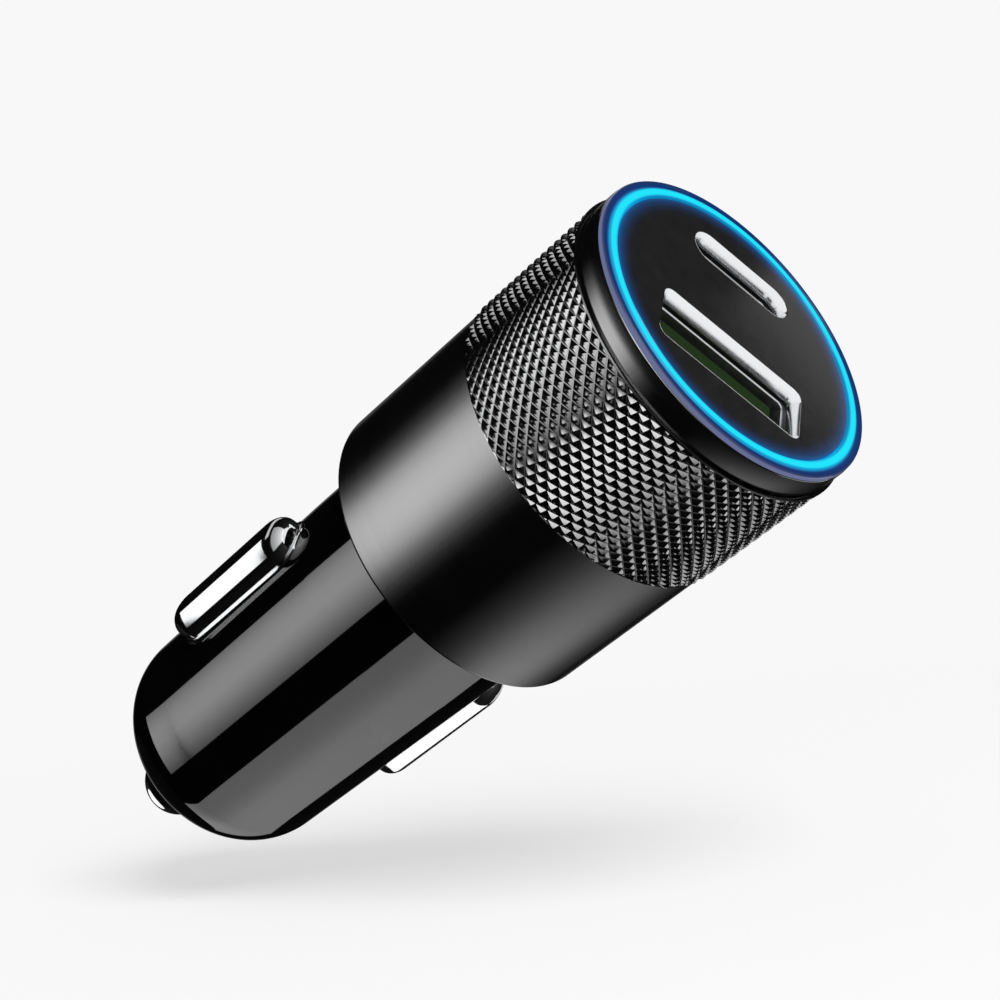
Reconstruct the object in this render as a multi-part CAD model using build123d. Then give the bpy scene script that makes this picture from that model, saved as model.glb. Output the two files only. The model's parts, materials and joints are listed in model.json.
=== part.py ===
from build123d import *
import math
import os

# Car charger plug with one wide and one small port. Millimetres.
# Z runs along the plug, up to the port face. X runs along the ports and through the side contacts.
# The origin lies on the axis in the shoulder plane, where the sleeve seats on a socket.

# Lengths along the axis
FACE_HEIGHT = 30.9
BARREL_LENGTH = 38.2
TIP_REACH = 6.75

# Sleeve: turned tube with a knurled belt
SLEEVE_RADIUS = 13.16
SLEEVE_WALL = 1.16
SLEEVE_EDGE_ROUND = 0.35
FLANGE_THICKNESS = 1.5
BAND_STEP = 0.06
GROOVE_WIDTH = 0.15
GROOVE_DEPTH = 0.15
BELT_LIP_HEIGHT = 0.15
BELT_LIP_PROUD = 0.02
KNURL_BASE = 15.9
KNURL_LENGTH = 12.24
KNURL_SINK = 0.04
KNURL_DEPTH = 0.24
KNURL_STARTS_RISING = 44
KNURL_STARTS_FALLING = 66
KNURL_ANGLE_RISING = 22.1
KNURL_ANGLE_FALLING = 43.9

# Barrel: moulded shell from the cup inside the sleeve down to the nose
BARREL_RADIUS = 10.35
BARREL_STRAIGHT = 8.8
NOSE_RADIUS = 10.08
NOSE_ROUND = 6.2
NECK_STEP = 0.2
BARREL_BORE = 8.9
NOSE_FLOOR = 1.6
CHAMBER_RADIUS = 7.4
CHAMBER_CHAMFER = 2.4
CARRIER_LEDGE_DEPTH = 31.0
CUP_TOP = 26.5
CUP_WALL = 1.25
CUP_FLOOR = 1.5
RIB_REACH = 0.8
RIB_THICKNESS = 0.8
RIB_TOP = 24.0

# Clearances
SLIP = 0.05
BOARD_CLEARANCE = 0.05
WINDOW_CLEARANCE = 0.12
PLATE_CLEARANCE = 0.1
SPRING_CLEARANCE = 0.05
TIP_CLEARANCE = 0.15
FLANGE_CLEARANCE = 0.2
CARRIER_CLEARANCE = 0.1

# Side contacts: pills that stand out of the barrel through windows
CONTACT_MIDDLE = 17.4
CONTACT_LENGTH = 16.2
CONTACT_WIDTH = 4.6
CONTACT_TOP = 12.5
CONTACT_ROUND = 1.2
CONTACT_BASE_MARGIN = 0.3
CONTACT_BASE_PROUD = 0.2
CONTACT_FLANGE_MARGIN = 0.9
CONTACT_FLANGE_BACK = 7.7

# Contact carrier: block behind the side contacts
CARRIER_FLAT = 5.2
CARRIER_TOP_DEPTH = 11.0
CARRIER_BORE = 2.6
SIDE_SPRING_BORE = 1.9
SIDE_SPRING_FLOOR = 3.1

# Springs
SIDE_SPRING_RADIUS = 1.4
SIDE_SPRING_WIRE = 0.4
SIDE_SPRING_TURNS = 4.5
TIP_SPRING_RADIUS = 1.9
TIP_SPRING_WIRE = 0.5
TIP_SPRING_TURNS = 9

# Tip contact
TIP_RADIUS = 3.1
TIP_DOME = 2.6
COLLAR_RADIUS = 4.2
COLLAR_THICKNESS = 1.0

# Terminal above the tip spring
TERMINAL_RADIUS = 3.2
TERMINAL_THICKNESS = 0.6
BLADE_WIDTH = 3.0
BLADE_THICKNESS = 0.4
BLADE_LENGTH = 5.4

# Light ring and port face
RING_STEP = 0.05
RING_WIDTH = 1.45
RING_LIP = 0.45
RING_EDGE_ROUND = 0.2
RING_LEDGE_WIDTH = 0.6
RING_GROOVE_INSET = 0.45
RING_GROOVE_WIDTH = 0.24
RING_GROOVE_DEPTH = 0.12
RING_SKIRT_FOOT = 28.1
PLATE_TOP_DROP = 0.1
PLATE_THICKNESS = 1.4

# Ports: opening in the plate, bright trim, connector shell
TRIM_DEPTH = 1.1
TRIM_LIP = 0.04
TRIM_WALL = 0.34
WIDE_PORT_Y = -4.6
WIDE_SHELL = (13.05, 5.4)
WIDE_OPENING_MARGIN = (0.275, 0.1)
WIDE_OPENING_ROUND = 0.9
WIDE_SHELL_ROUND = 0.8
WIDE_SHELL_WALL = 0.35
WIDE_SHELL_DEPTH = 13.5
WIDE_TONGUE = (11.1, 1.84)
WIDE_TONGUE_GAP = 0.65
WIDE_TONGUE_SETBACK = 0.3
WIDE_TONGUE_CHAMFER = 0.25
WIDE_BASE_DEPTH = 2.5
WIDE_PIN = (1.0, 0.25, 8.0)
WIDE_PIN_SETBACK = 0.6
WIDE_PIN_PLACES = (-3.5, -1.0, 1.0, 3.5)
SMALL_PORT_Y = 6.68
SMALL_SHELL = (8.94, 3.16)
SMALL_OPENING_MARGIN = (0.33, 0.045)
SMALL_SHELL_WALL = 0.3
SMALL_SHELL_DEPTH = 7.6
SMALL_TONGUE = (6.7, 0.7)
SMALL_TONGUE_SETBACK = 0.8
SMALL_BASE_DEPTH = 2.2
SMALL_PIN = (0.25, 0.06, 3.4)
SMALL_PIN_PITCH = 0.5
SMALL_PIN_COUNT = 12
SMALL_PIN_SETBACK = 0.4

# Circuit boards and what they carry
BOARD_THICKNESS = 1.2
MAIN_BOARD_HALF_WIDTH = 10.0
MAIN_BOARD_TAIL_HALF_WIDTH = 4.8
MAIN_BOARD_TAIL_DEPTH = 9.5
BOARD_TOP = 25.5
BOARD_FOOT = 3.2
PORT_BOARD_HALF_WIDTH = 8.6
PORT_BOARD_FOOT = 8.0
LED_BOARD_THICKNESS = 0.8
LED_BOARD_WIDTH = 1.9
LED_BOARD_CLEARANCE = 0.1
LED_SIZE = (1.6, 0.8, 0.6)
LED_RADIUS = 11.2
LED_COUNT = 6
HEADER_PIN = 0.64
HEADER_PITCH = 2.54
HEADER_COUNT = 4
HEADER_PLACE = (-6.5, 20.5)
INDUCTOR_SIZE = 7.0
INDUCTOR_HEIGHT = 4.0
INDUCTOR_ROUND = 1.2
INDUCTOR_PLACE = (4.0, 13.0)
CAN_RADIUS = 3.0
CAN_LENGTH = 9.0
CAN_EDGE = 0.4
CAN_FOOT = 5.0
CAN_PLACES = (-4.0, 4.0)
CHIP_SIZE = (5.0, 1.2, 4.0)
CHIP_PLACES = ((-4.5, 12.0), (0.0, 5.5), (4.0, 20.5))

# Worked out from the sizes above
SLEEVE_BORE = SLEEVE_RADIUS - SLEEVE_WALL
BAND_RADIUS = SLEEVE_RADIUS - BAND_STEP
KNURL_VALLEY_RADIUS = SLEEVE_RADIUS - KNURL_SINK
KNURL_CREST_RADIUS = KNURL_VALLEY_RADIUS + KNURL_DEPTH
CUP_RADIUS = SLEEVE_BORE - SLIP
CUP_BORE = CUP_RADIUS - CUP_WALL
RING_RADIUS = BAND_RADIUS - RING_STEP
RING_INNER = RING_RADIUS - RING_WIDTH
RING_LEDGE = RING_INNER - RING_LEDGE_WIDTH
RING_GROOVE_OUTER = RING_RADIUS - RING_GROOVE_INSET
RING_GROOVE_INNER = RING_GROOVE_OUTER - RING_GROOVE_WIDTH
LED_BOARD_RADIUS = SLEEVE_BORE - LED_BOARD_CLEARANCE
LED_BOARD_INNER = LED_BOARD_RADIUS - LED_BOARD_WIDTH
WIDE_OPENING = tuple(s + 2 * m for s, m in zip(WIDE_SHELL, WIDE_OPENING_MARGIN))
SMALL_OPENING = tuple(s + 2 * m for s, m in zip(SMALL_SHELL, SMALL_OPENING_MARGIN))
PLATE_TOP = FACE_HEIGHT - PLATE_TOP_DROP
PLATE_FOOT = PLATE_TOP - PLATE_THICKNESS
SLEEVE_TOP = FACE_HEIGHT - RING_LIP
NOSE_END = -BARREL_LENGTH
NOSE_INSIDE = NOSE_END + NOSE_FLOOR
COLLAR_FOOT = NOSE_INSIDE + SPRING_CLEARANCE
COLLAR_TOP = COLLAR_FOOT + COLLAR_THICKNESS
CARRIER_TOP = -CARRIER_TOP_DEPTH
MAIN_BOARD_FRONT = WIDE_PORT_Y + WIDE_SHELL[1] / 2
MAIN_BOARD_BACK = MAIN_BOARD_FRONT + BOARD_THICKNESS
PORT_BOARD_BACK = SMALL_PORT_Y - SMALL_SHELL[1] / 2
PORT_BOARD_FRONT = PORT_BOARD_BACK - BOARD_THICKNESS
LED_BOARD_TOP = CUP_TOP + LED_BOARD_THICKNESS
FROM_BELOW = (Align.CENTER, Align.CENTER, Align.MIN)


def box_between(low, high):
    """Box between two opposite corners."""
    size = [b - a for a, b in zip(low, high)]
    middle = [(a + b) / 2 for a, b in zip(low, high)]
    return Pos(*middle) * Box(*size)


def turned(points):
    """Solid of revolution about Z from radius and height pairs."""
    outline = Polyline(*[(r, 0, z) for r, z in points], close=True)
    return revolve(make_face(outline), Axis.Z)


def stadium(length, width):
    """Slot outline with full round ends."""
    return SlotOverall(length, width)


def clip(polygon, height, keep_above):
    """Part of a flat polygon above or below a level."""
    kept = []
    for start, end in zip(polygon, polygon[1:] + polygon[:1]):
        start_in = (start[2] >= height) == keep_above
        end_in = (end[2] >= height) == keep_above
        if start_in:
            kept.append(start)
        if start_in != end_in:
            low, high = sorted((start, end))
            share = (height - low[2]) / (high[2] - low[2])
            x, y = [round(a + share * (b - a), 9) for a, b in zip(low[:2], high[:2])]
            kept.append((x, y, height))
    return kept


def knurled_belt():
    """Diamond knurl: a pyramid in each cell between two families of helical grooves."""
    girth = 2 * math.pi * KNURL_VALLEY_RADIUS
    rising = KNURL_STARTS_RISING / (girth * math.tan(math.radians(KNURL_ANGLE_RISING)))
    falling = KNURL_STARTS_FALLING / (girth * math.tan(math.radians(KNURL_ANGLE_FALLING)))
    cross = KNURL_STARTS_RISING * falling + KNURL_STARTS_FALLING * rising
    # Groove crossings lie on even levels, and the belt ends between two of them.
    level = math.gcd(KNURL_STARTS_RISING, KNURL_STARTS_FALLING) / cross
    top = KNURL_BASE + round(KNURL_LENGTH / level) * level
    base = KNURL_BASE - level / 4

    def place(i, j):
        turn = (falling * i + rising * j) / cross
        return turn, base + (KNURL_STARTS_RISING * j - KNURL_STARTS_FALLING * i) / cross

    def point(i, j, radius):
        turn, height = place(i, j)
        angle = 2 * math.pi * turn
        return tuple(round(c, 9) for c in (radius * math.cos(angle), radius * math.sin(angle), height))

    facets = []
    span = top - KNURL_BASE
    reach = math.ceil(max(rising, falling) * span) + 3
    for i in range(-reach, KNURL_STARTS_RISING + reach):
        for j in range(-reach, KNURL_STARTS_FALLING + reach):
            turn, height = place(i + 0.5, j + 0.5)
            if not 0 <= turn < 1 or abs(height - KNURL_BASE - span / 2) > span / 2 + 2:
                continue
            peak = point(i + 0.5, j + 0.5, KNURL_CREST_RADIUS)
            cell = [(i, j), (i + 1, j), (i + 1, j + 1), (i, j + 1)]
            corners = [point(*c, KNURL_VALLEY_RADIUS) for c in cell]
            for a, b in zip(corners, corners[1:] + corners[:1]):
                facet = clip(clip([a, b, peak], KNURL_BASE, True), top, False)
                if len(facet) > 2:
                    facets.append(facet)

    def end_outline(height):
        ends = {(round(p[0], 6), round(p[1], 6)): p for f in facets for p in f if p[2] == height}
        return sorted(ends.values(), key=lambda p: math.atan2(p[1], p[0]))

    outlines = facets + [end_outline(KNURL_BASE), end_outline(top)]
    faces = [Face(Wire.make_polygon([Vector(*p) for p in outline])) for outline in outlines]
    return Solid(Shell(faces)), top


def sleeve():
    belt, belt_top = knurled_belt()
    lower = Cylinder(SLEEVE_RADIUS, KNURL_BASE, align=FROM_BELOW)
    lower = fillet(lower.edges().group_by(Axis.Z)[0], SLEEVE_EDGE_ROUND)
    lip = Cylinder(KNURL_CREST_RADIUS + BELT_LIP_PROUD, BELT_LIP_HEIGHT, align=FROM_BELOW)
    groove_foot = belt_top + BELT_LIP_HEIGHT
    groove = Cylinder(BAND_RADIUS - GROOVE_DEPTH, GROOVE_WIDTH, align=FROM_BELOW)
    band_foot = groove_foot + GROOVE_WIDTH
    band = Cylinder(BAND_RADIUS, SLEEVE_TOP - band_foot, align=FROM_BELOW)
    body = lower + belt + Pos(0, 0, belt_top) * lip
    body += Pos(0, 0, groove_foot) * groove
    body += Pos(0, 0, band_foot) * band
    bore = Pos(0, 0, FLANGE_THICKNESS) * Cylinder(SLEEVE_BORE, FACE_HEIGHT, align=FROM_BELOW)
    neck = Cylinder(BARREL_RADIUS + NECK_STEP + SLIP, 2 * FACE_HEIGHT)
    return body - (bore + neck)


def window(side):
    """Opening of a side contact, with its clearance."""
    margin = 2 * (CONTACT_BASE_MARGIN + WINDOW_CLEARANCE)
    return contact_prism(side, margin, CARRIER_FLAT, CONTACT_TOP)


def contact_prism(side, margin, near, far):
    """Stadium prism along X at a side contact, wider all round by half the margin."""
    outline = Plane.YZ * Pos(0, -CONTACT_MIDDLE) * Rot(0, 0, 90) * stadium(
        CONTACT_LENGTH + margin, CONTACT_WIDTH + margin
    )
    prism = Pos(near, 0, 0) * extrude(outline, far - near)
    return prism if side > 0 else mirror(prism, Plane.YZ)


def rib_pair(board_front, half_width, foot):
    """Two ribs on each side that hold a board's edges."""
    ribs = []
    limit = Cylinder(CUP_BORE + SLIP * 4, RIB_TOP - foot, align=FROM_BELOW)
    back = board_front + BOARD_THICKNESS + BOARD_CLEARANCE
    for side in (-1, 1):
        near, far = sorted((side * (half_width - RIB_REACH), side * CUP_BORE * 2))
        for y in (board_front - BOARD_CLEARANCE - RIB_THICKNESS, back):
            rib = box_between((near, y, foot), (far, y + RIB_THICKNESS, RIB_TOP))
            ribs.append(rib & Pos(0, 0, foot) * limit)
    return ribs


def barrel():
    neck_radius = BARREL_RADIUS + NECK_STEP
    cup_floor = FLANGE_THICKNESS + CUP_FLOOR
    round_top = NOSE_END + NOSE_ROUND
    round_side = NOSE_RADIUS - NOSE_ROUND
    middle = NOSE_ROUND * math.sqrt(0.5)
    tip_hole = TIP_RADIUS + TIP_CLEARANCE
    side = Polyline(
        (tip_hole, 0, NOSE_END),
        (tip_hole, 0, NOSE_INSIDE),
        (CHAMBER_RADIUS - CHAMBER_CHAMFER, 0, NOSE_INSIDE),
        (CHAMBER_RADIUS, 0, NOSE_INSIDE + CHAMBER_CHAMFER),
        (CHAMBER_RADIUS, 0, -CARRIER_LEDGE_DEPTH),
        (BARREL_BORE, 0, -CARRIER_LEDGE_DEPTH),
        (BARREL_BORE, 0, cup_floor),
        (CUP_BORE, 0, cup_floor),
        (CUP_BORE, 0, CUP_TOP),
        (CUP_RADIUS, 0, CUP_TOP),
        (CUP_RADIUS, 0, FLANGE_THICKNESS),
        (neck_radius, 0, FLANGE_THICKNESS),
        (neck_radius, 0, 0),
        (BARREL_RADIUS, 0, 0),
        (BARREL_RADIUS, 0, -BARREL_STRAIGHT),
        (NOSE_RADIUS, 0, round_top),
    )
    nose = ThreePointArc(
        (NOSE_RADIUS, 0, round_top),
        (round_side + middle, 0, round_top - middle),
        (round_side, 0, NOSE_END),
    )
    end = Line((round_side, 0, NOSE_END), (tip_hole, 0, NOSE_END))
    body = revolve(make_face([side, nose, end]), Axis.Z)
    for rib in rib_pair(MAIN_BOARD_FRONT, MAIN_BOARD_HALF_WIDTH, cup_floor):
        body += rib
    for rib in rib_pair(PORT_BOARD_FRONT, PORT_BOARD_HALF_WIDTH, cup_floor):
        body += rib
    for side in (-1, 1):
        body -= window(side)
    return body


def side_contact(side):
    pill = contact_prism(1, 0, CONTACT_FLANGE_BACK, CONTACT_TOP)
    pill = fillet(pill.edges().group_by(Axis.X)[-1], CONTACT_ROUND)
    base = contact_prism(1, 2 * CONTACT_BASE_MARGIN, CONTACT_FLANGE_BACK, CONTACT_TOP)
    base &= Cylinder(BARREL_RADIUS + CONTACT_BASE_PROUD, 4 * BARREL_LENGTH)
    flange_margin = 2 * (CONTACT_BASE_MARGIN + CONTACT_FLANGE_MARGIN)
    flange = contact_prism(1, flange_margin, CONTACT_FLANGE_BACK, CONTACT_TOP)
    flange &= Cylinder(BARREL_BORE - FLANGE_CLEARANCE, 4 * BARREL_LENGTH)
    contact = pill + base + flange
    return contact if side > 0 else mirror(contact, Plane.YZ)


def contact_carrier():
    height = CARRIER_LEDGE_DEPTH - CARRIER_TOP_DEPTH
    body = Pos(0, 0, -CARRIER_LEDGE_DEPTH) * Cylinder(
        BARREL_BORE - CARRIER_CLEARANCE, height, align=FROM_BELOW
    )
    body &= Box(2 * CARRIER_FLAT, 4 * BARREL_BORE, 4 * BARREL_LENGTH)
    body -= Cylinder(CARRIER_BORE, 4 * BARREL_LENGTH)
    for side in (-1, 1):
        depth = CARRIER_FLAT - SIDE_SPRING_FLOOR
        pocket = Cylinder(SIDE_SPRING_BORE, depth, align=FROM_BELOW)
        body -= Pos(side * SIDE_SPRING_FLOOR, 0, -CONTACT_MIDDLE) * Rot(0, side * 90, 0) * pocket
    return body


def coil(radius, wire, length, turns):
    """Compression spring standing on the XY plane."""
    height = length - wire
    path = Helix(height / turns, height, radius)
    section = Plane(path @ 0, z_dir=path % 0) * Circle(wire / 2)
    return Pos(0, 0, wire / 2) * sweep(section, path=path, is_frenet=True)


def side_spring(side):
    length = CONTACT_FLANGE_BACK - SIDE_SPRING_FLOOR - 2 * SPRING_CLEARANCE
    spring = coil(SIDE_SPRING_RADIUS, SIDE_SPRING_WIRE, length, SIDE_SPRING_TURNS)
    seat = side * (SIDE_SPRING_FLOOR + SPRING_CLEARANCE)
    return Pos(seat, 0, -CONTACT_MIDDLE) * Rot(0, side * 90, 0) * spring


def tip_spring():
    length = CARRIER_TOP - COLLAR_TOP - 2 * SPRING_CLEARANCE
    spring = coil(TIP_SPRING_RADIUS, TIP_SPRING_WIRE, length, TIP_SPRING_TURNS)
    return Pos(0, 0, COLLAR_TOP + SPRING_CLEARANCE) * spring


def tip_contact():
    tip_end = NOSE_END - TIP_REACH
    dome_start = tip_end + TIP_DOME
    dome_radius = (TIP_RADIUS**2 + TIP_DOME**2) / (2 * TIP_DOME)
    dome_middle = tip_end + dome_radius
    half_angle = math.asin(TIP_RADIUS / dome_radius) / 2
    shoulder = (dome_radius * math.sin(half_angle), 0, dome_middle - dome_radius * math.cos(half_angle))
    side = Polyline(
        (0, 0, tip_end),
        (0, 0, COLLAR_TOP),
        (COLLAR_RADIUS, 0, COLLAR_TOP),
        (COLLAR_RADIUS, 0, COLLAR_FOOT),
        (TIP_RADIUS, 0, COLLAR_FOOT),
        (TIP_RADIUS, 0, dome_start),
    )
    dome = ThreePointArc((TIP_RADIUS, 0, dome_start), shoulder, (0, 0, tip_end))
    return revolve(make_face([side, dome]), Axis.Z)


def tip_terminal():
    disc = Pos(0, 0, CARRIER_TOP) * Cylinder(TERMINAL_RADIUS, TERMINAL_THICKNESS, align=FROM_BELOW)
    foot = CARRIER_TOP + TERMINAL_THICKNESS
    blade = box_between(
        (-BLADE_WIDTH / 2, MAIN_BOARD_BACK, foot),
        (BLADE_WIDTH / 2, MAIN_BOARD_BACK + BLADE_THICKNESS, foot + BLADE_LENGTH),
    )
    return disc + blade


def light_ring():
    skirt_radius = SLEEVE_BORE - SLIP
    groove_floor = FACE_HEIGHT - RING_GROOVE_DEPTH
    ring = turned(
        [
            (RING_INNER, FACE_HEIGHT),
            (RING_GROOVE_INNER, FACE_HEIGHT),
            (RING_GROOVE_INNER, groove_floor),
            (RING_GROOVE_OUTER, groove_floor),
            (RING_GROOVE_OUTER, FACE_HEIGHT),
            (RING_RADIUS, FACE_HEIGHT),
            (RING_RADIUS, SLEEVE_TOP),
            (skirt_radius, SLEEVE_TOP),
            (skirt_radius, RING_SKIRT_FOOT),
            (RING_LEDGE, RING_SKIRT_FOOT),
            (RING_LEDGE, PLATE_FOOT),
            (RING_INNER, PLATE_FOOT),
        ]
    )
    rim = ring.edges().filter_by(GeomType.CIRCLE).sort_by(SortBy.RADIUS)[-2:].sort_by(Axis.Z)[-1]
    return fillet(rim, RING_EDGE_ROUND)


def wide_outline(size, corner):
    return Pos(0, WIDE_PORT_Y) * RectangleRounded(size[0], size[1], corner)


def small_outline(size):
    return Pos(0, SMALL_PORT_Y) * stadium(size[0], size[1])


def shrunk(size, wall):
    return size[0] - 2 * wall, size[1] - 2 * wall


def face_plate():
    plate = Pos(0, 0, PLATE_FOOT) * Cylinder(
        RING_INNER - PLATE_CLEARANCE, PLATE_THICKNESS, align=FROM_BELOW
    )
    seat = PLATE_TOP - TRIM_DEPTH
    wide_seat = wide_outline(WIDE_OPENING, WIDE_OPENING_ROUND)
    wide_hole = wide_outline(shrunk(WIDE_OPENING, TRIM_WALL), WIDE_OPENING_ROUND - TRIM_WALL)
    for rebate, hole in (
        (wide_seat, wide_hole),
        (small_outline(SMALL_OPENING), small_outline(shrunk(SMALL_OPENING, TRIM_WALL))),
    ):
        plate -= Pos(0, 0, seat) * extrude(rebate, PLATE_THICKNESS)
        plate -= Pos(0, 0, PLATE_FOOT) * extrude(hole, PLATE_THICKNESS)
    return plate


def trim(outer, mouth):
    """Bright lip of a port, thin at its rim and thicker below."""
    slope = math.degrees(math.atan((TRIM_WALL - TRIM_LIP) / TRIM_DEPTH))
    ring = Pos(0, 0, PLATE_TOP - TRIM_DEPTH) * extrude(outer, TRIM_DEPTH)
    return ring - Pos(0, 0, PLATE_TOP) * extrude(mouth, -TRIM_DEPTH, taper=slope)


def wide_trim():
    outer = wide_outline(WIDE_OPENING, WIDE_OPENING_ROUND)
    mouth = wide_outline(shrunk(WIDE_OPENING, TRIM_LIP), WIDE_OPENING_ROUND - TRIM_LIP)
    return trim(outer, mouth)


def small_trim():
    return trim(small_outline(SMALL_OPENING), small_outline(shrunk(SMALL_OPENING, TRIM_LIP)))


def wide_shell():
    outer = wide_outline(WIDE_SHELL, WIDE_SHELL_ROUND)
    inner = wide_outline(shrunk(WIDE_SHELL, WIDE_SHELL_WALL), WIDE_SHELL_ROUND - WIDE_SHELL_WALL)
    return Pos(0, 0, PLATE_FOOT) * extrude(outer - inner, -WIDE_SHELL_DEPTH)


def wide_tongue():
    inner = shrunk(WIDE_SHELL, WIDE_SHELL_WALL + SLIP)
    corner = WIDE_SHELL_ROUND - WIDE_SHELL_WALL
    foot = PLATE_FOOT - WIDE_SHELL_DEPTH
    base = Pos(0, 0, foot) * extrude(wide_outline(inner, corner), WIDE_BASE_DEPTH)
    back = WIDE_PORT_Y + inner[1] / 2 - WIDE_TONGUE_GAP
    half = WIDE_TONGUE[0] / 2
    tip = PLATE_FOOT - WIDE_TONGUE_SETBACK
    blade = box_between((-half, back - WIDE_TONGUE[1], foot + WIDE_BASE_DEPTH), (half, back, tip))
    blade = chamfer(blade.edges().group_by(Axis.Z)[-1], WIDE_TONGUE_CHAMFER)
    return base + blade


def wide_pins():
    inner = shrunk(WIDE_SHELL, WIDE_SHELL_WALL + SLIP)
    front = WIDE_PORT_Y + inner[1] / 2 - WIDE_TONGUE_GAP - WIDE_TONGUE[1]
    top = PLATE_FOOT - WIDE_TONGUE_SETBACK - WIDE_PIN_SETBACK
    width, thickness, length = WIDE_PIN
    return [
        box_between((x - width / 2, front - thickness, top - length), (x + width / 2, front, top))
        for x in WIDE_PIN_PLACES
    ]


def small_shell():
    outer = small_outline(SMALL_SHELL)
    inner = small_outline(shrunk(SMALL_SHELL, SMALL_SHELL_WALL))
    return Pos(0, 0, PLATE_FOOT) * extrude(outer - inner, -SMALL_SHELL_DEPTH)


def small_tongue():
    foot = PLATE_FOOT - SMALL_SHELL_DEPTH
    inner = small_outline(shrunk(SMALL_SHELL, SMALL_SHELL_WALL + SLIP))
    base = Pos(0, 0, foot) * extrude(inner, SMALL_BASE_DEPTH)
    half, thick = SMALL_TONGUE[0] / 2, SMALL_TONGUE[1] / 2
    tip = PLATE_FOOT - SMALL_TONGUE_SETBACK
    blade = box_between(
        (-half, SMALL_PORT_Y - thick, foot + SMALL_BASE_DEPTH), (half, SMALL_PORT_Y + thick, tip)
    )
    return base + blade


def small_pins():
    width, thickness, length = SMALL_PIN
    top = PLATE_FOOT - SMALL_TONGUE_SETBACK - SMALL_PIN_SETBACK
    first = -SMALL_PIN_PITCH * (SMALL_PIN_COUNT - 1) / 2
    pins = []
    for n in range(SMALL_PIN_COUNT):
        x = first + n * SMALL_PIN_PITCH
        for side in (-1, 1):
            face = SMALL_PORT_Y + side * SMALL_TONGUE[1] / 2
            near, far = sorted((face, face + side * thickness))
            pins.append(box_between((x - width / 2, near, top - length), (x + width / 2, far, top)))
    return pins


def main_board():
    body = box_between(
        (-MAIN_BOARD_HALF_WIDTH, MAIN_BOARD_FRONT, BOARD_FOOT),
        (MAIN_BOARD_HALF_WIDTH, MAIN_BOARD_BACK, BOARD_TOP),
    )
    tail = box_between(
        (-MAIN_BOARD_TAIL_HALF_WIDTH, MAIN_BOARD_FRONT, -MAIN_BOARD_TAIL_DEPTH),
        (MAIN_BOARD_TAIL_HALF_WIDTH, MAIN_BOARD_BACK, BOARD_FOOT),
    )
    return body + tail


def port_board():
    return box_between(
        (-PORT_BOARD_HALF_WIDTH, PORT_BOARD_FRONT, PORT_BOARD_FOOT),
        (PORT_BOARD_HALF_WIDTH, PORT_BOARD_BACK, BOARD_TOP),
    )


def board_pins():
    x, middle = HEADER_PLACE
    half = HEADER_PIN / 2
    first = middle - HEADER_PITCH * (HEADER_COUNT - 1) / 2
    heights = [first + n * HEADER_PITCH for n in range(HEADER_COUNT)]
    return [
        box_between((x - half, MAIN_BOARD_BACK, z - half), (x + half, PORT_BOARD_FRONT, z + half))
        for z in heights
    ]


def led_board():
    disc = Cylinder(LED_BOARD_RADIUS, LED_BOARD_THICKNESS, align=FROM_BELOW)
    hole = Cylinder(LED_BOARD_INNER, 4 * LED_BOARD_THICKNESS)
    return Pos(0, 0, CUP_TOP) * (disc - hole)


def leds():
    lamp = Pos(LED_RADIUS, 0, LED_BOARD_TOP) * Box(
        LED_SIZE[1], LED_SIZE[0], LED_SIZE[2], align=FROM_BELOW
    )
    return [Rot(0, 0, 360 / LED_COUNT * (n + 0.5)) * lamp for n in range(LED_COUNT)]


def inductor():
    x, z = INDUCTOR_PLACE
    outline = Plane.XZ * Pos(x, z) * RectangleRounded(INDUCTOR_SIZE, INDUCTOR_SIZE, INDUCTOR_ROUND)
    return Pos(0, MAIN_BOARD_BACK + INDUCTOR_HEIGHT, 0) * extrude(outline, INDUCTOR_HEIGHT)


def capacitors():
    can = Cylinder(CAN_RADIUS, CAN_LENGTH, align=FROM_BELOW)
    can = fillet(can.edges().filter_by(GeomType.CIRCLE), CAN_EDGE)
    return [Pos(x, MAIN_BOARD_FRONT - CAN_RADIUS, CAN_FOOT) * can for x in CAN_PLACES]


def control_chips():
    chips = []
    width, thickness, height = CHIP_SIZE
    for x, z in CHIP_PLACES:
        chips.append(
            box_between(
                (x - width / 2, MAIN_BOARD_BACK, z - height / 2),
                (x + width / 2, MAIN_BOARD_BACK + thickness, z + height / 2),
            )
        )
    return chips


NODES = {
    "barrel": barrel,
    "sleeve": sleeve,
    "light_ring": light_ring,
    "face_plate": face_plate,
    "wide_port_trim": wide_trim,
    "wide_port_shell": wide_shell,
    "wide_port_tongue": wide_tongue,
    "wide_port_contacts": wide_pins,
    "small_port_trim": small_trim,
    "small_port_shell": small_shell,
    "small_port_tongue": small_tongue,
    "small_port_contacts": small_pins,
    "main_board": main_board,
    "port_board": port_board,
    "board_pins": board_pins,
    "led_board": led_board,
    "ring_leds": leds,
    "inductor": inductor,
    "capacitors": capacitors,
    "control_chips": control_chips,
    "contact_carrier": contact_carrier,
    "tip_terminal": tip_terminal,
    "tip_contact": tip_contact,
    "tip_spring": tip_spring,
    "side_contact_left": lambda: side_contact(-1),
    "side_contact_right": lambda: side_contact(1),
    "side_spring_left": lambda: side_spring(-1),
    "side_spring_right": lambda: side_spring(1),
}

os.makedirs("parts", exist_ok=True)
for name, make in NODES.items():
    made = make()
    if isinstance(made, list):
        made = Compound(children=made)
    export_step(made, f"parts/{name}.step")
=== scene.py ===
import json
import math

import bmesh
import bpy
from mathutils import Matrix, Vector

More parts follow.
